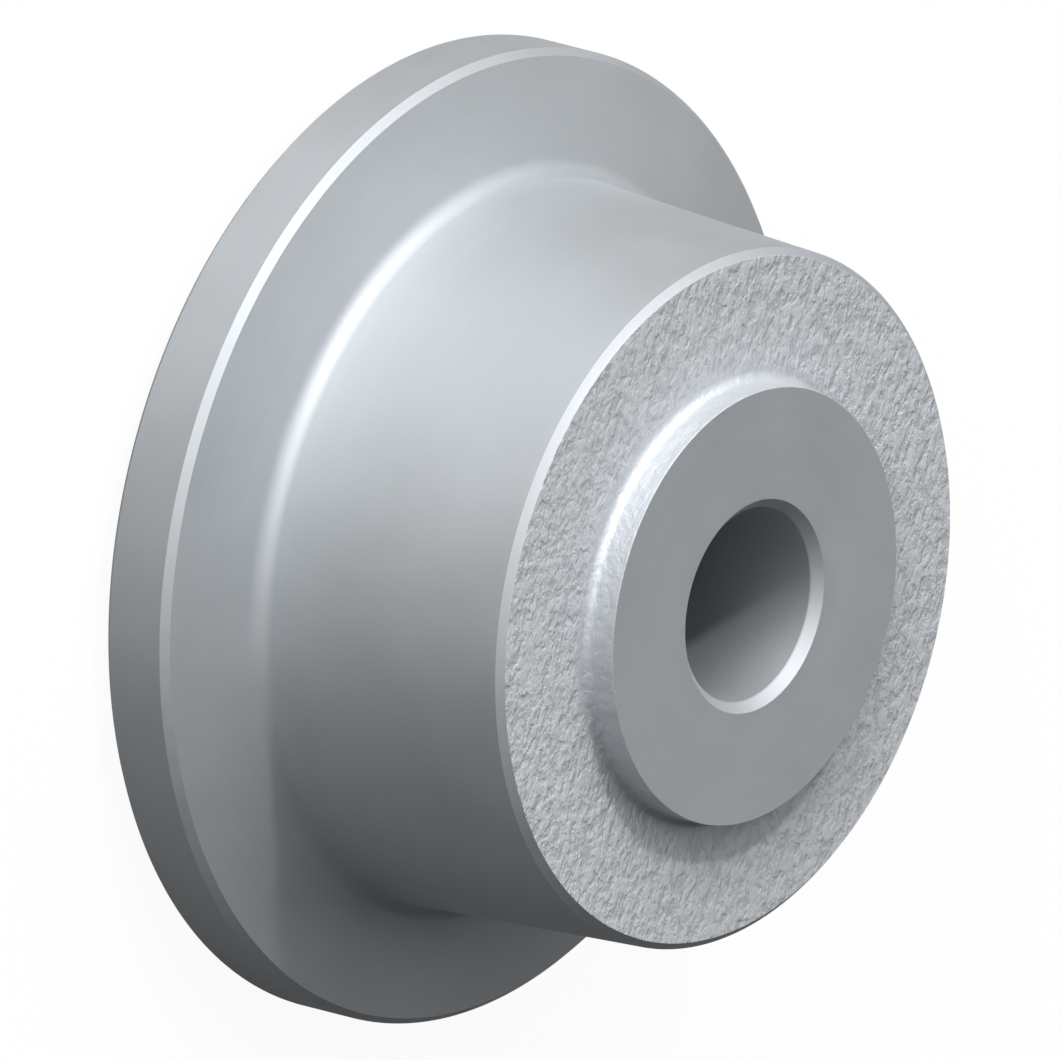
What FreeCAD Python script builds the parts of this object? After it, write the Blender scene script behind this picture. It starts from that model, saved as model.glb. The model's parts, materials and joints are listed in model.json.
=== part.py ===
import FreeCAD, Part
import Sketcher
import math
import os

# A flanged track wheel, cast in one piece and turned where it runs.
# It lies on the back of its hub. The bore for the axle runs along +Z, the flange is at the bottom
# and the front of the hub is at the top. The origin is on the axis, in the plane it stands on.
# Lengths are in millimetres and angles in degrees.

NODE = "track_wheel"

SIZES = [
    ("bore_diameter", "20", "bore for the axle"),
    ("bore_chamfer", "1", "lead-in at both mouths of the bore"),
    ("hub_diameter", "45", "faced end of the hub"),
    ("hub_front_rise", "3.5", "front of the hub above the cast disc"),
    ("hub_back_rise", "1.5", "back of the hub below the back of the flange"),
    ("hub_root_radius", "1", "fillet where the front of the hub leaves the disc"),
    ("rim_width", "40", "cast disc to the back of the flange"),
    ("tread_diameter", "75", "running tread where its line meets the flange"),
    ("tread_taper", "3", "slope of the tread to the axis"),
    ("tread_root_radius", "2", "fillet between the tread and the flange"),
    ("tread_edge_chamfer", "0.7", "bevel round the front of the tread"),
    ("flange_diameter", "100", "outside of the flange"),
    ("flange_thickness", "10", "flange where its line meets the tread"),
    ("flange_slope", "9.5", "slope of the flange's guiding face"),
    ("flange_edge_chamfer", "0.7", "bevel on both edges of the flange"),
]

# The lip is the flange's rim: what the sloping guiding face leaves of the flange's thickness.
GUIDE_DROP = "(sizes.flange_diameter - sizes.tread_diameter) / 2 * tan(sizes.flange_slope * 1 deg)"
LIP_WIDTH = f"(sizes.flange_thickness - {GUIDE_DROP})"

# The hub's fillet takes no more than this share of its step, and a bevel of the lip of the lip's width.
STEP_SHARE = 0.8
LIP_SHARE = 0.45
HUB_ROOT = f"min(sizes.hub_root_radius; {STEP_SHARE} * sizes.hub_front_rise)"
LIP_BEVEL = f"min(sizes.flange_edge_chamfer; {LIP_SHARE} * {LIP_WIDTH})"

# How far a found edge may lie from the place worked out for it.
EDGE_TOLERANCE = 0.001

# The ends of a side in a sketch, and the sketch's own origin.
START = 1
END = 2
CENTRE = 3
ORIGIN = (-1, START)


def make_sizes(doc):
    """The sheet of driving sizes, one row each."""
    sheet = doc.addObject("Spreadsheet::Sheet", "sizes")
    for row, (name, value, note) in enumerate(SIZES, start=1):
        sheet.set(f"A{row}", note)
        sheet.set(f"B{row}", value)
        sheet.setAlias(f"B{row}", name)
    doc.recompute()
    return sheet


def place(radius, height):
    """A point of the half section."""
    return FreeCAD.Vector(radius, height, 0)


class Section:
    """Places on the wheel's half section, worked out from the sheet."""

    def __init__(self, sheet):
        self.taper = math.radians(sheet.tread_taper)
        self.slope = math.radians(sheet.flange_slope)
        self.root_radius = sheet.tread_root_radius
        self.bore_radius = sheet.bore_diameter / 2
        self.hub_radius = sheet.hub_diameter / 2
        self.flange_radius = sheet.flange_diameter / 2

        self.back_height = sheet.hub_back_rise
        self.disc_height = self.back_height + sheet.rim_width
        self.top_height = self.disc_height + sheet.hub_front_rise

        self.tread_corner = place(sheet.tread_diameter / 2, self.back_height + sheet.flange_thickness)
        guide_drop = (self.flange_radius - self.tread_corner.x) * math.tan(self.slope)
        self.lip_corner = place(self.flange_radius, self.tread_corner.y - guide_drop)
        lip_width = self.lip_corner.y - self.back_height
        self.bevel = min(sheet.flange_edge_chamfer, LIP_SHARE * lip_width)

        tread_length = self.disc_height - self.tread_corner.y
        front_radius = self.tread_corner.x - tread_length * math.tan(self.taper)
        self.tread_front = place(front_radius, self.disc_height)

    def sides(self):
        """The blank's outline by name, from the axis at the bottom and round to the axis at the top."""
        up_tread = place(-math.sin(self.taper), math.cos(self.taper))
        in_guide = place(-math.cos(self.slope), math.sin(self.slope))
        off_tread = place(math.cos(self.taper), math.sin(self.taper))

        turn = math.pi / 2 - self.taper - self.slope
        reach = self.root_radius * math.tan(turn / 2)
        tread_start = self.tread_corner + up_tread * reach
        guide_end = self.tread_corner - in_guide * reach
        root_circle = Part.Circle(tread_start + off_tread * self.root_radius,
                                  FreeCAD.Vector(0, 0, 1), self.root_radius)
        root_span = (math.pi + self.taper, 3 * math.pi / 2 - self.slope)

        lip_end = self.lip_corner - place(0, self.bevel)
        guide_start = self.lip_corner + in_guide * self.bevel
        flange_foot = place(self.flange_radius, self.back_height)
        hub_foot = place(self.hub_radius, self.back_height)
        hub_root = place(self.hub_radius, self.disc_height)
        hub_edge = place(self.hub_radius, self.top_height)
        return {
            "back": Part.LineSegment(place(0, 0), place(self.hub_radius, 0)),
            "back_rise": Part.LineSegment(place(self.hub_radius, 0), hub_foot),
            "flange_back": Part.LineSegment(hub_foot, flange_foot),
            "lip": Part.LineSegment(flange_foot, lip_end),
            "lip_bevel": Part.LineSegment(lip_end, guide_start),
            "guide": Part.LineSegment(guide_start, guide_end),
            "root": Part.ArcOfCircle(root_circle, *root_span),
            "tread": Part.LineSegment(tread_start, self.tread_front),
            "disc": Part.LineSegment(self.tread_front, hub_root),
            "front_rise": Part.LineSegment(hub_root, hub_edge),
            "front": Part.LineSegment(hub_edge, place(0, self.top_height)),
            "axis": Part.LineSegment(place(0, self.top_height), place(0, 0)),
        }


def origin_plane(body, role):
    """One of the body's own origin planes."""
    return next(item for item in body.Origin.OriginFeatures if item.Role == role)


def new_sketch(body, name, role):
    sketch = body.newObject("Sketcher::SketchObject", name)
    sketch.AttachmentSupport = (origin_plane(body, role), [""])
    sketch.MapMode = "FlatFace"
    return sketch


def tie(sketch, kind, *where):
    """Add a constraint that has no size."""
    sketch.addConstraint(Sketcher.Constraint(kind, *where))


def bind(sketch, name, expression, kind, *where):
    """Add a constraint, name it and take its size from the sheet."""
    index = sketch.addConstraint(Sketcher.Constraint(kind, *where))
    sketch.renameConstraint(index, name)
    sketch.setExpression(f"Constraints.{name}", expression)


def draw_half_section(body, section):
    """The half section of the blank, as one closed outline in the plane of the axis."""
    sketch = new_sketch(body, "half_section", "XZ_Plane")
    side = {name: sketch.addGeometry(line, False) for name, line in section.sides().items()}
    tread_corner = sketch.addGeometry(Part.Point(section.tread_corner), True)
    lip_corner = sketch.addGeometry(Part.Point(section.lip_corner), True)

    # The root arc runs the other way round than the outline, and is tangent at both of its ends.
    ring = list(side)
    for name, following in zip(ring, ring[1:] + ring[:1]):
        if "root" not in (name, following):
            tie(sketch, "Coincident", side[name], END, side[following], START)
    tie(sketch, "Tangent", side["guide"], END, side["root"], END)
    tie(sketch, "Tangent", side["root"], START, side["tread"], START)

    tie(sketch, "Coincident", side["back"], START, *ORIGIN)
    for name in ("back", "flange_back", "disc", "front"):
        tie(sketch, "Horizontal", side[name])
    for name in ("back_rise", "lip", "front_rise", "axis"):
        tie(sketch, "Vertical", side[name])
    tie(sketch, "PointOnObject", tread_corner, START, side["tread"])
    tie(sketch, "PointOnObject", tread_corner, START, side["guide"])
    tie(sketch, "PointOnObject", lip_corner, START, side["lip"])
    tie(sketch, "PointOnObject", lip_corner, START, side["guide"])

    bind(sketch, "back_hub_radius", "sizes.hub_diameter / 2",
         "DistanceX", *ORIGIN, side["back"], END, section.hub_radius)
    bind(sketch, "front_hub_radius", "sizes.hub_diameter / 2",
         "DistanceX", *ORIGIN, side["front"], START, section.hub_radius)
    bind(sketch, "flange_radius", "sizes.flange_diameter / 2",
         "DistanceX", *ORIGIN, side["lip"], START, section.flange_radius)
    bind(sketch, "tread_radius", "sizes.tread_diameter / 2",
         "DistanceX", *ORIGIN, tread_corner, START, section.tread_corner.x)

    bind(sketch, "back_rise", "sizes.hub_back_rise",
         "DistanceY", *ORIGIN, side["lip"], START, section.back_height)
    bind(sketch, "flange_thickness", "sizes.flange_thickness",
         "DistanceY", side["lip"], START, tread_corner, START, section.tread_corner.y - section.back_height)
    bind(sketch, "rim_width", "sizes.rim_width",
         "DistanceY", side["lip"], START, side["disc"], START, section.disc_height - section.back_height)
    bind(sketch, "front_rise", "sizes.hub_front_rise",
         "DistanceY", side["disc"], END, side["front"], START, section.top_height - section.disc_height)

    bind(sketch, "tread_angle", "90 deg + sizes.tread_taper * 1 deg",
         "Angle", side["tread"], math.pi / 2 + section.taper)
    bind(sketch, "guide_angle", "180 deg - sizes.flange_slope * 1 deg",
         "Angle", side["guide"], math.pi - section.slope)
    bind(sketch, "root_radius", "sizes.tread_root_radius",
         "Radius", side["root"], section.root_radius)
    bind(sketch, "bevel_on_lip", LIP_BEVEL,
         "Distance", lip_corner, START, side["lip"], END, section.bevel)
    bind(sketch, "bevel_on_guide", LIP_BEVEL,
         "Distance", lip_corner, START, side["guide"], START, section.bevel)
    return sketch


def turn_blank(body, sketch):
    """Turn the half section once round the axis."""
    blank = body.newObject("PartDesign::Revolution", "blank")
    blank.Profile = sketch
    blank.ReferenceAxis = (sketch, ["V_Axis"])
    blank.Angle = 360
    sketch.Visibility = False
    return blank


def rings(feature, *places):
    """Names of the feature's full-circle edges at the given radii and heights."""
    names = []
    for radius, height in places:
        for number, edge in enumerate(feature.Shape.Edges, start=1):
            curve = edge.Curve
            if not isinstance(curve, Part.Circle):
                continue
            if abs(curve.Radius - radius) > EDGE_TOLERANCE:
                continue
            if abs(curve.Center.z - height) < EDGE_TOLERANCE:
                names.append(f"Edge{number}")
    if len(names) != len(places):
        raise RuntimeError(f"{feature.Name}: found {len(names)} of {len(places)} edges")
    return names


def dress(doc, body, kind, name, size_name, expression, *places):
    """A fillet or chamfer on full-circle edges of the body as it stands."""
    doc.recompute()
    base = body.Tip
    feature = body.newObject(f"PartDesign::{kind}", name)
    feature.Base = (base, rings(base, *places))
    feature.setExpression(size_name, expression)
    return feature


def cut_bore(doc, body, section):
    """Bore the hub through from the plane that it stands on."""
    doc.recompute()
    before = body.Shape.Volume
    sketch = new_sketch(body, "bore_circle", "XY_Plane")
    circle = Part.Circle(place(0, 0), FreeCAD.Vector(0, 0, 1), section.bore_radius)
    ring = sketch.addGeometry(circle, False)
    tie(sketch, "Coincident", ring, CENTRE, *ORIGIN)
    bind(sketch, "bore_diameter", "sizes.bore_diameter", "Diameter", ring, 2 * section.bore_radius)
    bore = body.newObject("PartDesign::Pocket", "bore")
    bore.Profile = sketch
    bore.Type = "ThroughAll"
    bore.Reversed = True
    sketch.Visibility = False
    doc.recompute()
    if body.Shape.Volume >= before:
        raise RuntimeError("the bore cut nothing")
    return bore


def make_wheel(doc):
    section = Section(doc.sizes)
    body = doc.addObject("PartDesign::Body", NODE)
    body.Label = NODE
    body.Placement = FreeCAD.Placement()

    turn_blank(body, draw_half_section(body, section))
    cut_bore(doc, body, section)

    dress(doc, body, "Fillet", "hub_root", "Radius", HUB_ROOT,
          (section.hub_radius, section.disc_height))
    dress(doc, body, "Chamfer", "tread_edge", "Size", "sizes.tread_edge_chamfer",
          (section.tread_front.x, section.disc_height))
    dress(doc, body, "Chamfer", "flange_back_edge", "Size", LIP_BEVEL,
          (section.flange_radius, section.back_height))
    dress(doc, body, "Chamfer", "bore_mouths", "Size", "sizes.bore_chamfer",
          (section.bore_radius, 0), (section.bore_radius, section.top_height))
    doc.recompute()
    return body


def check(doc, body):
    """Stop if anything failed to recompute or the wheel isn't one closed solid."""
    for item in doc.Objects:
        if "Invalid" in item.State or "Error" in item.State:
            raise RuntimeError(f"{item.Name} failed: {item.State}")
        if item.isDerivedFrom("Sketcher::SketchObject") and not item.FullyConstrained:
            raise RuntimeError(f"{item.Name} isn't fully constrained")
    shape = body.Shape
    if shape.isNull() or not shape.isValid() or len(shape.Solids) != 1:
        raise RuntimeError(f"{body.Label} is not one valid solid")


def main():
    doc = FreeCAD.newDocument("flanged_track_wheel")
    make_sizes(doc)
    wheel = make_wheel(doc)
    check(doc, wheel)
    os.makedirs("parts", exist_ok=True)
    wheel.Shape.exportStep(f"parts/{wheel.Label}.step")
    box = wheel.Shape.optimalBoundingBox(False, False)
    print(f"{wheel.Label}: {box.XLength:.3f} x {box.YLength:.3f} x {box.ZLength:.3f} mm,"
          f" from z {box.ZMin:.3f}, volume {wheel.Shape.Volume:.1f} mm3,"
          f" {len(wheel.Shape.Faces)} faces")


main()
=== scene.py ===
import json
import math
from typing import NamedTuple

import bpy
import numpy as np
from bpy.props import FloatProperty, FloatVectorProperty, IntProperty, PointerProperty
from mathutils import Matrix, Vector, noise


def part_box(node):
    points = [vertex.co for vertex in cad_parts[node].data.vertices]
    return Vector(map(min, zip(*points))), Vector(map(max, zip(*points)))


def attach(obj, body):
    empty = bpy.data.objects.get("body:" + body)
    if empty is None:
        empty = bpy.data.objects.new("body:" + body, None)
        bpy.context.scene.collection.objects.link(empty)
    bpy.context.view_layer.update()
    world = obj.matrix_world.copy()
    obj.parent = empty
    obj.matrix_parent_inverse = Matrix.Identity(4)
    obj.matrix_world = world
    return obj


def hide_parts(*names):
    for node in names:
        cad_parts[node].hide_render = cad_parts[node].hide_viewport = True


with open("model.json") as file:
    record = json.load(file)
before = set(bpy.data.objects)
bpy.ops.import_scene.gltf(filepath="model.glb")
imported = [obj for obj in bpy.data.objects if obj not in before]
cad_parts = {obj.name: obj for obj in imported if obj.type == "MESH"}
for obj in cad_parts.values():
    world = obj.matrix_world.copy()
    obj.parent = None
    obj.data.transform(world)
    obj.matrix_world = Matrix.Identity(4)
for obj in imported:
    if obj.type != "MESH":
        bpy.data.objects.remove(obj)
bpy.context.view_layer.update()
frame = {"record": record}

# The looks of a flanged track wheel: one casting, turned bright on its tread, flange, hub and bore.
# It lies on the back of its hub with its axis along Z. Lengths are in metres and angles in radians.

bl_info = {
    "name": "Flanged track wheel",
    "version": (1, 0, 0),
    "blender": (4, 5, 0),
    "location": "3D View > Sidebar > Track wheel",
    "description": "Dresses a cast and turned track wheel and sets it on a plain pale stage",
    "category": "Object",
}

NODE = "track_wheel"
BODY = "root"
MM = 0.001

NODE_LOW, NODE_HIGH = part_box(NODE)
BORE = next(mount for mount in frame["record"]["mounts"] if mount["name"] == "bore")

# The photograph: its side, its pixels to the metre, and the pixel of the hub's front centre.
PHOTO_SIDE = 1060
PHOTO_SCALE = 9962
PHOTO_HUB = (754.65, 606.34)

# Finishes, in the order of the mesh's material slots.
TURNED = 0
CAST = 1

# How many facets turn each kind of corner, and how many rings climb the hub's side.
EDGE_FACETS = 2
SINK_FACETS = 1
BACK_ROOT_FACETS = 4
FRONT_ROOT_FACETS = 6
TREAD_ROOT_FACETS = 12
HUB_SIDE_RINGS = 3

# The tighter lumps of the cast skin: their size and height beside the coarse ones, and their shift.
FINE_LUMPS = 0.45
FINE_SHIFT = Vector((5.2, 1.3, 8.1))


def length(name, description, default):
    """A length that a user may change."""
    return FloatProperty(name=name, description=description, default=default, min=0.0,
                         unit="LENGTH", subtype="DISTANCE", precision=5)


def angle(name, description, degrees):
    """An angle that a user may change."""
    return FloatProperty(name=name, description=description, default=math.radians(degrees),
                         unit="ROTATION", subtype="ANGLE")


def share(name, description, default):
    """A plain number from nothing to all."""
    return FloatProperty(name=name, description=description, default=default, min=0.0, max=1.0,
                         subtype="FACTOR")


def colour(name, description, default):
    """A surface colour in linear red, green and blue."""
    return FloatVectorProperty(name=name, description=description, default=default, size=3,
                               min=0.0, max=1.0, subtype="COLOR")


class WheelSizes(bpy.types.PropertyGroup):
    """The wheel's section."""

    flange_radius: length("Flange radius", "Outside of the flange",
                          min(NODE_HIGH.x, NODE_HIGH.y, -NODE_LOW.x, -NODE_LOW.y))
    hub_length: length("Hub length", "Back of the hub to its front", NODE_HIGH.z - NODE_LOW.z)
    bore_radius: length("Bore radius", "Bore for the axle", BORE["dims"]["r_mm"] * MM)
    bore_length: length("Bore length", "Straight part of the bore between its lead-ins",
                        BORE["dims"]["length_mm"] * MM)
    hub_radius: length("Hub radius", "Faced ends of the hub", 22.5 * MM)
    front_rise: length("Front rise", "Front of the hub above the cast disc", 3.5 * MM)
    front_root: length("Front root", "Fillet where the front of the hub leaves the disc", 1 * MM)
    back_rise: length("Back rise", "Back of the hub below the back of the flange", 1.5 * MM)
    back_root: length("Back root", "Fillet where the back of the hub leaves the cast web", 0.5 * MM)
    tread_radius: length("Tread radius", "Tread where its line meets the flange", 37.5 * MM)
    tread_taper: angle("Tread taper", "Slope of the tread to the axis", 3)
    tread_root: length("Tread root", "Fillet between the tread and the flange", 2 * MM)
    flange_thickness: length("Flange thickness", "Flange where its line meets the tread", 10 * MM)
    flange_slope: angle("Flange slope", "Slope of the guiding face", 9.5)
    bevel: length("Bevel", "Bevel on the tread's front and both edges of the flange", 0.7 * MM)
    edge_break: length("Edge break", "Rounding that deburring leaves on a turned edge", 0.08 * MM)
    web_sink: length("Web sink", "How far the cast web at the back lies inside its turned rim", 0.15 * MM)
    web_edge: length("Web edge", "Rounding of the small step round the cast web", 0.05 * MM)


class WheelMesh(bpy.types.PropertyGroup):
    """How finely the wheel is meshed, and the cast skin that is modelled."""

    sides: IntProperty(name="Sides", description="Facets round the wheel", default=720, min=24)
    disc_rings: IntProperty(name="Disc rings", description="Rings across the cast disc", default=38)
    web_rings: IntProperty(name="Web rings", description="Rings across the cast web", default=26)
    lump_width: length("Lump width", "Spacing of the lumps in the cast skin", 1.3 * MM)
    lump_height: length("Lump height", "Height of those lumps", 0.05 * MM)
    lump_fade: length("Lump fade", "Margin in which the skin smooths out to an edge", 0.5 * MM)


class TurnedFinish(bpy.types.PropertyGroup):
    """Iron turned bright on a lathe."""

    colour: colour("Colour", "Bright iron", (0.502, 0.525, 0.546))
    roughness: share("Roughness", "Mean roughness", 0.72)
    metallic: share("Metallic", "How far it shines as bare metal", 1.0)
    mark_pitch: length("Mark pitch", "Spacing of the tool marks", 0.22 * MM)
    mark_depth: length("Mark depth", "Depth of the tool marks", 0.0015 * MM)
    cloud_width: length("Cloud width", "Spacing of its broad changes of tone", 9 * MM)
    tone_swing: share("Tone swing", "How far its brightness wanders either way", 0.06)
    # Painted shade: the bore's colour is darkened to stand for the shade inside it.
    bore_painted_shade: share("Bore shade", "Brightness of the bore beside the outside", 0.87)


class CastFinish(bpy.types.PropertyGroup):
    """Iron as it leaves the sand mould."""

    colour: colour("Colour", "Cleaned cast skin", (0.527, 0.546, 0.572))
    roughness: share("Roughness", "Mean roughness", 0.8)
    metallic: share("Metallic", "How far it shines as bare metal", 0.4)
    grain: length("Grain", "Spacing of the sand's print", 0.9 * MM)
    streak: FloatProperty(name="Streak", description="How much longer than wide the print is", default=1.6,
                          min=1.0)
    streak_bearing: angle("Streak bearing", "Direction of the print's length, clockwise from +Y", 77)
    grain_depth: length("Grain depth", "Depth of the sand's print", 0.235 * MM)
    cloud_width: length("Cloud width", "Spacing of its broad changes of tone", 7 * MM)
    # Painted shade: the hollows of the print are darkened in colour where shade falls.
    hollow_painted_shade: share("Hollow shade", "Brightness of the hollows beside the flats", 0.84)
    # Near the hub the skin is smoother and more metallic, and a brighter colour there paints a sheen; these
    # bound that zone.
    rub_and_painted_sheen_start: length("Rub start", "How far off the hub the rubbed skin begins to dull", 0.4 * MM)
    rub_and_painted_sheen_end: length("Rub end", "How far off the hub the skin is wholly dull", 2.4 * MM)
    rubbed_print: share("Rubbed print", "How much of the print is left where it is rubbed", 0.4)
    # Painted sheen: the skin at the hub takes a brighter copy of the cast colour.
    painted_sheen_gain: FloatProperty(name="Rubbed gain", default=1.12, min=0.0,
                               description="Brightness of the rubbed skin beside the flats")


class StageSettings(bpy.types.PropertyGroup):
    """Camera, lamps and floor."""

    tilt: angle("Tilt", "Line of sight from the wheel's axis", 52.94)
    roll: angle("Roll", "Turn of the camera about its line of sight", 104.24)
    light: share("Light", "Share of the lamps' full light", 1.0)
    surround: share("Surround", "Brightness of the room to every ray but the camera's", 0.05)
    floor: colour("Floor", "Pale floor, as it is seen", (0.95, 0.95, 0.95))
    floor_bounce: colour("Floor bounce", "Floor, as it throws light back on the wheel", (0.09, 0.09, 0.09))
    floor_white: share("Floor white", "How far the camera sees the floor as plain white", 0.94)
    floor_mirrored: share("Floor mirrored", "How far the wheel sees the floor as plain white", 0.1)


class Lamp(NamedTuple):
    """A far lamp: degrees clockwise from +Y and above the floor, the angle it fills, its light in W/m2."""

    name: str
    bearing: float
    height: float
    spread: float
    light: float


LAMPS = (
    Lamp("key", 240.4, 35, 5, 1.4),
    Lamp("low_left", 210, 12, 36, 2.3),
    Lamp("low_middle", 240, 12, 36, 1.85),
    Lamp("front", 183, 32, 36, 0.75),
    Lamp("high_right", 270, 38, 36, 0.5),
    Lamp("overhead", 240, 65, 36, 0.45),
    Lamp("behind", 330, 38, 36, 0.45),
)


class Corner(NamedTuple):
    """A corner of the section, its rounding in steps, and the finish and inner rings of the run after it."""

    radius: float
    height: float
    rounding: float
    steps: int
    finish: int
    rings: int = 0


class Ring(NamedTuple):
    """A ring of the lathed mesh. skin is how much of the cast skin's lumps it takes."""

    radius: float
    height: float
    normal: tuple
    finish: int
    skin: float = 0.0


def section(size, mesh):
    """Corners of the section, from the back mouth of the bore outwards and round to it again."""
    lead = (size.hub_length - size.bore_length) / 2
    back = size.back_rise
    disc = size.hub_length - size.front_rise
    rim = size.flange_radius - size.bevel
    tread_height = back + size.flange_thickness
    slope = size.flange_slope
    lip = tread_height - (size.flange_radius - size.tread_radius) * math.tan(slope)
    taper = math.tan(size.tread_taper)
    tread_front = size.tread_radius - (disc - tread_height) * taper
    web = back + size.web_sink
    broken = (size.edge_break, EDGE_FACETS)
    return [
        Corner(size.bore_radius + lead, 0, *broken, TURNED),
        Corner(size.hub_radius, 0, *broken, TURNED),
        Corner(size.hub_radius, web, size.back_root, BACK_ROOT_FACETS, CAST, mesh.web_rings),
        Corner(size.tread_radius - size.web_sink, web, size.web_edge, SINK_FACETS, CAST),
        Corner(size.tread_radius, back, size.web_edge, SINK_FACETS, TURNED),
        Corner(rim, back, *broken, TURNED),
        Corner(size.flange_radius, back + size.bevel, *broken, TURNED),
        Corner(size.flange_radius, lip - size.bevel, *broken, TURNED),
        Corner(size.flange_radius - size.bevel * math.cos(slope), lip + size.bevel * math.sin(slope),
               *broken, TURNED),
        Corner(size.tread_radius, tread_height, size.tread_root, TREAD_ROOT_FACETS, TURNED),
        Corner(tread_front + size.bevel * taper, disc - size.bevel, *broken, TURNED),
        Corner(tread_front - size.bevel, disc, *broken, CAST, mesh.disc_rings),
        Corner(size.hub_radius, disc, size.front_root, FRONT_ROOT_FACETS, CAST, HUB_SIDE_RINGS),
        Corner(size.hub_radius, size.hub_length, *broken, TURNED),
        Corner(size.bore_radius + lead, size.hub_length, *broken, TURNED),
        Corner(size.bore_radius, size.hub_length - lead, *broken, TURNED),
        Corner(size.bore_radius, lead, *broken, TURNED),
    ]


def facing(direction):
    """The outward normal of a run, which lies to the right of its direction."""
    return np.array((direction[1], -direction[0]))


def rounded(before, corner, after):
    """Places and outward normals along a corner's rounding."""
    here = np.array((corner.radius, corner.height))
    come = here - (before.radius, before.height)
    go = np.array((after.radius, after.height)) - here
    come /= np.linalg.norm(come)
    go /= np.linalg.norm(go)
    turn = math.atan2(come[0] * go[1] - come[1] * go[0], come @ go)
    bend = math.copysign(corner.rounding, turn)
    start = here - come * corner.rounding * math.tan(abs(turn) / 2)
    centre = start - facing(come) * bend
    for step in range(corner.steps + 1):
        part = turn * step / corner.steps
        swing = np.array(((math.cos(part), -math.sin(part)), (math.sin(part), math.cos(part))))
        normal = swing @ facing(come)
        yield centre + normal * bend, normal


def eased(value):
    """A smooth step from 0 to 1."""
    value = min(max(value, 0.0), 1.0)
    return value * value * (3 - 2 * value)


def lathe_rings(corners, fade):
    """Every ring of the mesh, in order along the section."""
    arcs = []
    for index, corner in enumerate(corners):
        after = corners[(index + 1) % len(corners)]
        arcs.append(list(rounded(corners[index - 1], corner, after)))
    rings = []
    for index, corner in enumerate(corners):
        arc = arcs[index]
        finish = max(corner.finish, corners[index - 1].finish)
        for place, normal in arc[:-1]:
            rings.append(Ring(*place, tuple(normal), finish))
        start, normal = arc[-1]
        end = arcs[(index + 1) % len(corners)][0][0]
        run = np.linalg.norm(end - start)
        for step in range(corner.rings + 1):
            way = step / (corner.rings + 1)
            skin = eased(run * min(way, 1 - way) / fade) if corner.rings else 0.0
            rings.append(Ring(*(start + (end - start) * way), tuple(normal), corner.finish, skin))
    return rings


def skin_height(place, width, look):
    """Height of the cast skin, about -1 to 1: soft lumps, drawn out, with tighter ones on them."""
    long_way = Vector((math.sin(look.streak_bearing), math.cos(look.streak_bearing), 0))
    place = (place - long_way * (place @ long_way) * (1 - 1 / look.streak)) / width
    coarse = noise.noise(place)
    fine = noise.noise(place / FINE_LUMPS + FINE_SHIFT)
    return coarse + FINE_LUMPS * fine


def wheel_mesh(size, mesh, look):
    """The wheel as one closed mesh, turned round its axis."""
    rings = lathe_rings(section(size, mesh), mesh.lump_fade)
    turn = np.linspace(0, 2 * math.pi, mesh.sides, endpoint=False)
    round_x, round_y = np.cos(turn), np.sin(turn)
    places = np.empty((len(rings), mesh.sides, 3))
    normals = np.empty_like(places)
    lumps = np.zeros((len(rings), mesh.sides))
    for index, ring in enumerate(rings):
        places[index] = np.stack((ring.radius * round_x, ring.radius * round_y,
                                  np.full(mesh.sides, ring.height)), axis=1)
        normals[index] = np.stack((ring.normal[0] * round_x, ring.normal[0] * round_y,
                                   np.full(mesh.sides, ring.normal[1])), axis=1)
        if ring.skin:
            heights = [skin_height(Vector(place), mesh.lump_width, look) for place in places[index]]
            lumps[index] = np.array(heights) * mesh.lump_height * ring.skin
    places += normals * lumps[:, :, None]
    normals -= skin_slope(rings, lumps, round_x, round_y)
    normals /= np.linalg.norm(normals, axis=2, keepdims=True)
    return build_mesh(rings, places, normals)


def skin_slope(rings, lumps, round_x, round_y):
    """How the lumps rise along the section and round the wheel, as a vector in the surface."""
    radius = np.array([ring.radius for ring in rings])
    height = np.array([ring.height for ring in rings])
    step = np.hypot(np.roll(radius, -1) - np.roll(radius, 1), np.roll(height, -1) - np.roll(height, 1))
    along = (np.roll(lumps, -1, axis=0) - np.roll(lumps, 1, axis=0)) / step[:, None]
    arc = 2 * math.pi * radius[:, None] / len(round_x)
    across = (np.roll(lumps, -1, axis=1) - np.roll(lumps, 1, axis=1)) / (2 * arc)
    normal = np.array([ring.normal for ring in rings])
    run = np.stack((-normal[:, 1], normal[:, 0]), axis=1)
    slope = np.empty((*lumps.shape, 3))
    slope[:, :, 0] = along * run[:, :1] * round_x - across * round_y
    slope[:, :, 1] = along * run[:, :1] * round_y + across * round_x
    slope[:, :, 2] = along * run[:, 1:]
    return slope


def build_mesh(rings, places, normals):
    """A mesh of the grid of places, joined at both ends, with its own smooth normals."""
    count, sides = places.shape[:2]
    index = np.arange(count * sides).reshape(count, sides)
    onward = np.roll(index, -1, axis=0)
    faces = np.stack((index, np.roll(index, -1, axis=1), np.roll(onward, -1, axis=1), onward), axis=2)
    data = bpy.data.meshes.new("wheel")
    data.from_pydata(places.reshape(-1, 3).tolist(), [], faces.reshape(-1, 4).tolist())
    finishes = np.repeat([ring.finish for ring in rings], sides)
    data.polygons.foreach_set("material_index", finishes)
    data.polygons.foreach_set("use_smooth", np.ones(count * sides, bool))
    data.update()
    data.normals_split_custom_set_from_vertices(normals.reshape(-1, 3).tolist())
    return data


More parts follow.
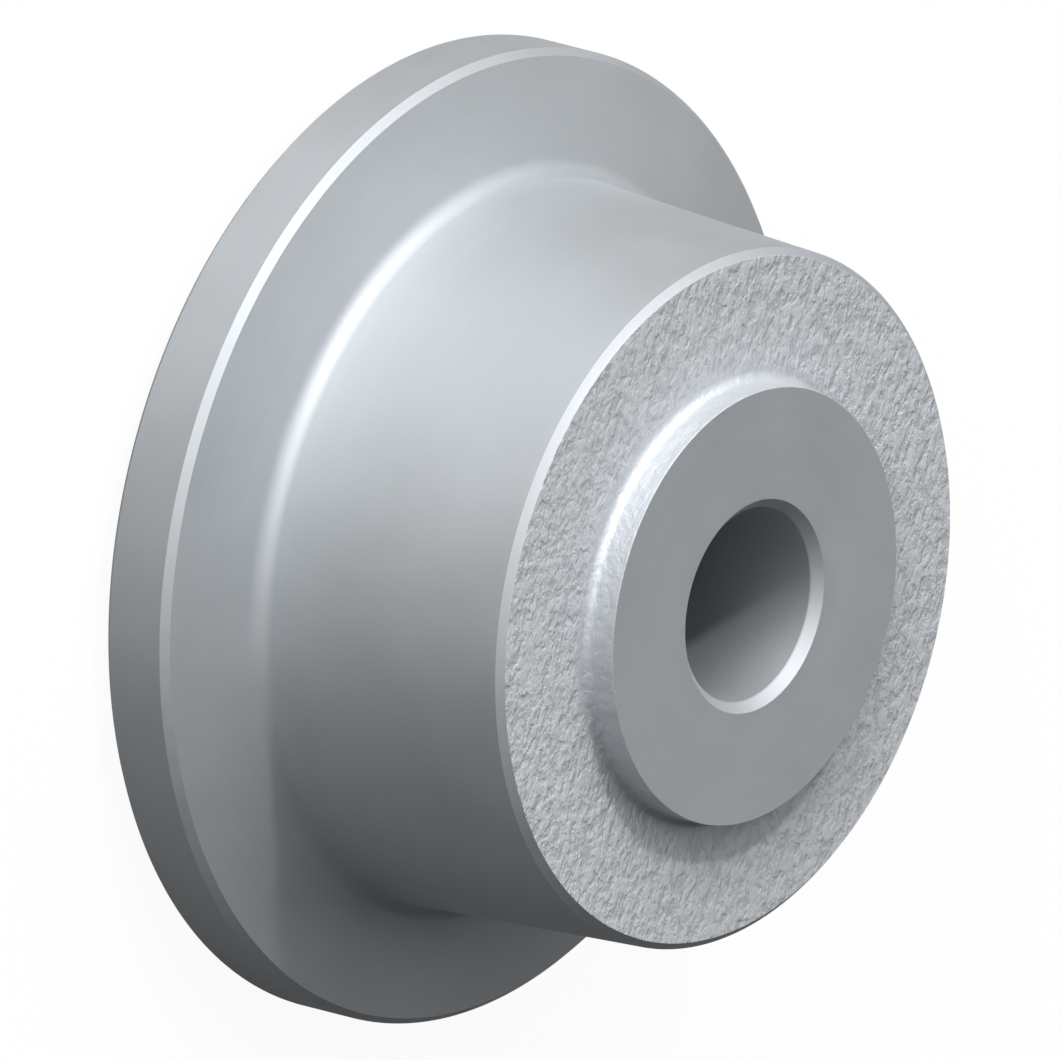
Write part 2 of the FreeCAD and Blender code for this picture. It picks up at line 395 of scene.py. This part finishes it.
class Graph:
    """A node tree that is written as Python expressions."""

    def __init__(self, owner):
        owner.use_nodes = True
        self.tree = owner.node_tree
        self.tree.nodes.clear()

    def node(self, kind, settings=None, sockets=None):
        """Add a node of a type, with its settings first and then its sockets' values or links."""
        node = self.tree.nodes.new(kind)
        for name, value in (settings or {}).items():
            setattr(node, name, value)
        for key, value in (sockets or {}).items():
            if isinstance(value, Term):
                self.tree.links.new(value.socket, node.inputs[key])
            else:
                node.inputs[key].default_value = value
        return node

    def term(self, kind, settings=None, sockets=None, output=0):
        """Add a node and give one of its outputs to be used in an expression."""
        return Term(self, self.node(kind, settings, sockets).outputs[output])

    def mix(self, factor, first, second):
        """A colour between two. The node's colour sockets are its inputs 6 and 7 and its output 2."""
        return self.term("ShaderNodeMix", {"data_type": "RGBA"}, {0: factor, 6: first, 7: second}, 2)

    def blend(self, factor, first, second):
        """A shader between two."""
        return self.term("ShaderNodeMixShader", None, {0: factor, 1: first, 2: second})

    def noise(self, place, width, detail=2.0, roughness=0.5):
        """Noise from 0 to 1 whose lumps are about a width across."""
        return self.term("ShaderNodeTexNoise", None,
                         {"Vector": place, "Scale": 1 / width, "Detail": detail, "Roughness": roughness})

    def step(self, value, low, high):
        """A smooth step from 0 at the low value to 1 at the high one."""
        return self.term("ShaderNodeMapRange", {"interpolation_type": "SMOOTHSTEP"},
                         {"Value": value, "From Min": low, "From Max": high})


class Term:
    """A socket on which Python's operators add Math nodes."""

    def __init__(self, graph, socket):
        self.graph = graph
        self.socket = socket

    def maths(self, operation, *values):
        """A Math node's result."""
        return self.graph.term("ShaderNodeMath", {"operation": operation}, dict(enumerate(values)))

    def __add__(self, other):
        return self.maths("ADD", self, other)

    def __radd__(self, other):
        return self.maths("ADD", other, self)

    def __sub__(self, other):
        return self.maths("SUBTRACT", self, other)

    def __rsub__(self, other):
        return self.maths("SUBTRACT", other, self)

    def __mul__(self, other):
        return self.maths("MULTIPLY", self, other)

    def __rmul__(self, other):
        return self.maths("MULTIPLY", other, self)

    def __pow__(self, other):
        return self.maths("POWER", self, other)

    def __rpow__(self, other):
        return self.maths("POWER", other, self)


def shaded(colour, factor):
    """A colour times a number, with full alpha."""
    return (*(part * factor for part in colour), 1.0)


def finish_material(name):
    """A new material, its graph and the place on the wheel."""
    material = bpy.data.materials.new(name)
    graph = Graph(material)
    place = graph.term("ShaderNodeTexCoord", output="Object")
    return material, graph, place


def out_and_up(graph, place):
    """How far a place lies from the wheel's axis, and how high it lies along it."""
    parts = graph.node("ShaderNodeSeparateXYZ", None, {0: place})
    x, y, up = (Term(graph, part) for part in parts.outputs)
    return (x * x + y * y) ** 0.5, up


def iron(graph, metallic, colour, roughness, normal):
    """Close a graph with dull iron."""
    shader = graph.term("ShaderNodeBsdfPrincipled", None,
                        {"Base Color": colour, "Roughness": roughness, "Metallic": metallic,
                         "Normal": normal})
    graph.node("ShaderNodeOutputMaterial", None, {"Surface": shader})


def turned_iron(look, sizes):
    """Iron with the fine rings that a lathe tool leaves, with painted shade that darkens the bore.

    The marks are spaced by the distance from the axis and rise_share of the height, so that they ring flat
    faces and barrels alike. cloud_part of the tone is cloudy and the rest is banded, and the swings are how
    far the roughness wanders. The bore's painted shade, a darker colour for the shade inside it, ends
    bore_margin outside the bore, over bore_blend.
    """
    rise_share = 0.6
    band_width = 12 * look.mark_pitch
    cloud_part = 0.6
    cloud_swing = 0.08
    mark_swing = 0.04
    bore_margin = 0.05 * MM
    bore_blend = 0.1 * MM

    material, graph, place = finish_material("turned_iron")
    out, up = out_and_up(graph, place)
    way = out + up * rise_share
    marks = graph.term("ShaderNodeTexNoise", {"noise_dimensions": "1D"},
                       {"W": way, "Scale": 1 / look.mark_pitch, "Detail": 3.0})
    bands = graph.term("ShaderNodeTexNoise", {"noise_dimensions": "1D"},
                       {"W": way, "Scale": 1 / band_width, "Detail": 2.0})
    clouds = graph.noise(place, look.cloud_width, detail=3.0)
    tone = clouds * cloud_part + bands * (1 - cloud_part)
    low, high = 1 - look.tone_swing, 1 + look.tone_swing
    bright = graph.mix(tone, shaded(look.colour, low), shaded(look.colour, high))
    bore_end = sizes.bore_radius + bore_margin
    outside = graph.step(out, bore_end, bore_end + bore_blend)
    # Painted shade: inside the bore the colour is darkened to stand for the shade there.
    colour = graph.mix(outside, shaded(look.colour, look.bore_painted_shade), bright)
    roughness = look.roughness + (clouds - 0.5) * cloud_swing + (marks - 0.5) * mark_swing
    normal = graph.term("ShaderNodeBump", None, {"Distance": look.mark_depth, "Height": marks})
    iron(graph, look.metallic, colour, roughness, normal)
    return material


def cast_iron(look, sizes):
    """The cleaned skin of a sand casting: crumpled flats and short hollows darkened with painted shade,
    rubbed smooth at the hub, where a brighter colour paints a sheen.

    Swirls bend the print, swirl_pace of them to a grain and by swirl_reach grains. The noise is a hollow up
    to hollow_level and a flat from flat_level, and a flat lies flat_lift higher. cloud_part of the tone is
    cloudy and the rest is the hollows' painted shade, cloud_swing is how far the roughness wanders, and
    rubbed skin is rubbed_smooth smoother.
    """
    swirl_pace = 0.6
    swirl_reach = 0.7
    hollow_level = 0.34
    flat_level = 0.58
    flat_lift = 0.25
    cloud_part = 0.15
    cloud_swing = 0.08
    rubbed_smooth = 0.08

    material, graph, place = finish_material("cast_iron")
    swirl = graph.term("ShaderNodeTexNoise", None,
                       {"Vector": place, "Scale": swirl_pace / look.grain}, "Color")
    bent = graph.term("ShaderNodeVectorMath", {"operation": "MULTIPLY_ADD"},
                      {0: swirl, 1: (swirl_reach * look.grain,) * 3, 2: place})
    drawn = graph.term("ShaderNodeMapping", {"vector_type": "TEXTURE"},
                       {"Vector": bent, "Rotation": (0, 0, math.pi / 2 - look.streak_bearing),
                        "Scale": (look.streak, 1, 1)})
    grain = graph.noise(drawn, look.grain, detail=3.0, roughness=0.55)
    clouds = graph.noise(place, look.cloud_width, detail=2.0)
    flats = graph.step(grain, hollow_level, flat_level)
    out, _ = out_and_up(graph, place)
    dull = graph.step(out, sizes.hub_radius + look.rub_and_painted_sheen_start, sizes.hub_radius + look.rub_and_painted_sheen_end)
    print_share = dull * (1 - look.rubbed_print) + look.rubbed_print
    # The clouds vary the tone at random; the hollows are darkened as painted shade.
    tone = 1 - (1 - flats) * print_share * (1 - cloud_part) - clouds * cloud_part
    # This colour carries the hollows' painted shade.
    dull_colour = graph.mix(tone, shaded(look.colour, look.hollow_painted_shade), shaded(look.colour, 1.0))
    # Painted sheen: near the hub the colour is a brighter copy of the cast colour; the skin there is also
    # smoother and more metallic.
    colour = graph.mix(dull, shaded(look.colour, look.painted_sheen_gain), dull_colour)
    metallic = 1 - dull * (1 - look.metallic)
    roughness = look.roughness + (clouds - 0.5) * cloud_swing - (1 - dull) * rubbed_smooth
    normal = graph.term("ShaderNodeBump", None,
                        {"Distance": look.grain_depth, "Height": (flats * flat_lift + grain) * print_share})
    iron(graph, metallic, colour, roughness, normal)
    return material


def toward(bearing, height):
    """The direction to a compass bearing, clockwise from +Y, at an angle above the floor."""
    level = math.cos(height)
    return Vector((math.sin(bearing) * level, math.cos(bearing) * level, math.sin(height)))


def add_object(name, data):
    """A new object in the scene."""
    made = bpy.data.objects.new(name, data)
    bpy.context.scene.collection.objects.link(made)
    return made


def add_camera(stage):
    """The photograph's camera: parallel, looking down on the wheel and rolled."""
    data = bpy.data.cameras.new("camera")
    data.type = "ORTHO"
    data.ortho_scale = PHOTO_SIDE / PHOTO_SCALE
    turned = Matrix.Rotation(stage.tilt, 4, "X") @ Matrix.Rotation(stage.roll, 4, "Z")
    across = (PHOTO_HUB[0] - PHOTO_SIDE / 2) / PHOTO_SCALE
    down = (PHOTO_HUB[1] - PHOTO_SIDE / 2) / PHOTO_SCALE
    distance = 0.4
    hub = Vector((0, 0, NODE_HIGH.z))
    back = turned @ Vector((-across, down, distance))
    camera = add_object("camera", data)
    camera.matrix_world = Matrix.Translation(hub + back) @ turned
    bpy.context.scene.camera = camera


def add_lamps(stage):
    """The lamps, each far off and aimed at the wheel."""
    for lamp in LAMPS:
        data = bpy.data.lights.new(lamp.name, "SUN")
        data.energy = lamp.light * stage.light
        data.angle = math.radians(lamp.spread)
        made = add_object(lamp.name, data)
        made.rotation_mode = "QUATERNION"
        back = toward(math.radians(lamp.bearing), math.radians(lamp.height))
        made.rotation_quaternion = back.to_track_quat("Z", "Y")


def add_floor(stage):
    """A pale floor, just under the hub, that is seen as nearly white but keeps the wheel's shadow."""
    reach, sides, drop = 2.0, 96, 0.05 * MM
    turn = np.linspace(0, 2 * math.pi, sides, endpoint=False)
    places = np.stack((reach * np.cos(turn), reach * np.sin(turn), np.full(sides, -drop)), axis=1)
    data = bpy.data.meshes.new("floor")
    data.from_pydata(places.tolist(), [], [tuple(range(sides))])
    floor = add_object("floor", data)

    material = bpy.data.materials.new("floor")
    graph = Graph(material)
    ray = graph.node("ShaderNodeLightPath")
    seen = Term(graph, ray.outputs["Is Camera Ray"])
    mirrored = Term(graph, ray.outputs["Is Glossy Ray"])
    through = Term(graph, ray.outputs["Is Transmission Ray"])
    spread = Term(graph, ray.outputs["Is Diffuse Ray"])
    white = seen * stage.floor_white + (mirrored + through + spread) * stage.floor_mirrored
    pale = graph.mix(seen, (*stage.floor_bounce, 1.0), (*stage.floor, 1.0))
    matt = graph.term("ShaderNodeBsdfDiffuse", None, {"Color": pale})
    bright = graph.term("ShaderNodeEmission", None, {"Color": (1, 1, 1, 1), "Strength": 1.0})
    below = graph.term("ShaderNodeNewGeometry", output="Backfacing")
    clear = graph.term("ShaderNodeBsdfTransparent")
    top = graph.blend(white, matt, bright)
    graph.node("ShaderNodeOutputMaterial", None, {"Surface": graph.blend(below, top, clear)})
    data.materials.append(material)


def light_room(stage):
    """The pale room, seen as white."""
    world = bpy.data.worlds.new("room")
    bpy.context.scene.world = world
    graph = Graph(world)
    ray = graph.node("ShaderNodeLightPath")
    seen = Term(graph, ray.outputs["Is Camera Ray"])
    strength = seen * (1 - stage.surround) + stage.surround
    back = graph.term("ShaderNodeBackground", None, {"Color": (1, 1, 1, 1), "Strength": strength})
    graph.node("ShaderNodeOutputWorld", None, {"Surface": back})


class TRACK_WHEEL_OT_wheel(bpy.types.Operator):
    """Build the wheel over its CAD node"""

    bl_idname = "track_wheel.wheel"
    bl_label = "Wheel"

    def execute(self, context):
        scene = context.scene
        data = wheel_mesh(scene.wheel_sizes, scene.wheel_mesh, scene.cast_finish)
        data.materials.append(turned_iron(scene.turned_finish, scene.wheel_sizes))
        data.materials.append(cast_iron(scene.cast_finish, scene.wheel_sizes))
        wheel = add_object("wheel", data)
        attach(wheel, BODY)
        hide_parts(NODE)
        return {"FINISHED"}


class TRACK_WHEEL_OT_stage(bpy.types.Operator):
    """Set the camera, lamps and floor"""

    bl_idname = "track_wheel.stage"
    bl_label = "Stage"

    def execute(self, context):
        stage = context.scene.wheel_stage
        add_camera(stage)
        add_lamps(stage)
        add_floor(stage)
        light_room(stage)
        context.scene.view_settings.view_transform = "Standard"
        return {"FINISHED"}


class TRACK_WHEEL_PT_sidebar(bpy.types.Panel):
    """Builds the wheel and its stage"""

    bl_idname = "TRACK_WHEEL_PT_sidebar"
    bl_label = "Track wheel"
    bl_space_type = "VIEW_3D"
    bl_region_type = "UI"
    bl_category = "Track wheel"

    def draw(self, context):
        for operator in OPERATORS:
            self.layout.operator(operator.bl_idname)
        for name in SETTINGS:
            group = getattr(context.scene, name)
            box = self.layout.box()
            for key in group.bl_rna.properties.keys():
                if key not in ("name", "rna_type"):
                    box.prop(group, key)


SETTINGS = {
    "wheel_sizes": WheelSizes,
    "wheel_mesh": WheelMesh,
    "turned_finish": TurnedFinish,
    "cast_finish": CastFinish,
    "wheel_stage": StageSettings,
}
OPERATORS = (TRACK_WHEEL_OT_wheel, TRACK_WHEEL_OT_stage)


def register():
    """Make the settings, operators and panel known to Blender."""
    for name, group in SETTINGS.items():
        bpy.utils.register_class(group)
        setattr(bpy.types.Scene, name, PointerProperty(type=group))
    for item in (*OPERATORS, TRACK_WHEEL_PT_sidebar):
        bpy.utils.register_class(item)


def unregister():
    """Undo register."""
    for item in reversed((*OPERATORS, TRACK_WHEEL_PT_sidebar)):
        bpy.utils.unregister_class(item)
    for name, group in reversed(SETTINGS.items()):
        delattr(bpy.types.Scene, name)
        bpy.utils.unregister_class(group)


def main():
    """Build the wheel and its stage."""
    register()
    bpy.ops.track_wheel.wheel()
    bpy.ops.track_wheel.stage()


if __name__ == "__main__":
    main()
